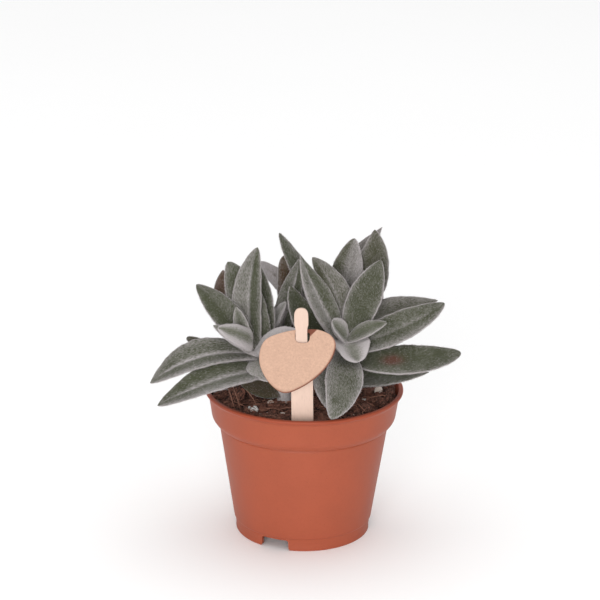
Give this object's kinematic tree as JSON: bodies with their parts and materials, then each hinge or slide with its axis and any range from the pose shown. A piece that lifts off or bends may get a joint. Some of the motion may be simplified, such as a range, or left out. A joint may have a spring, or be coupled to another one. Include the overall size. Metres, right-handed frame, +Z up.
{
  "type": "potted succulent plant",
  "caption": "Fuzzy-leaved jade plant with pointed, boat-shaped leaves in a round terracotta-coloured nursery pot, with a blank kraft tag on a flat wooden stick.",
  "frame": {"origin": "on the pot's axis, on the plane that the pot's foot ring stands on", "axes": "+Z up, along the pot's axis; -Y towards the side that the label faces; +X to the right as seen from there"},
  "size_m": [0.1368, 0.1004, 0.1371],
  "materials": {
    "pot_plastic": "satin",
    "peat": "matte",
    "stick_wood": "matte",
    "tag_kraft": "matte",
    "felted_leaf": "matte"
  },
  "bodies": {
    "root": {"pot": "pot_plastic", "soil": "peat", "label_stick": "stick_wood", "label_tag": "tag_kraft", "shoot_left": "felted_leaf", "shoot_middle": "felted_leaf", "shoot_right": "felted_leaf", "shoot_back": "felted_leaf"}
  },
  "joints": []
}
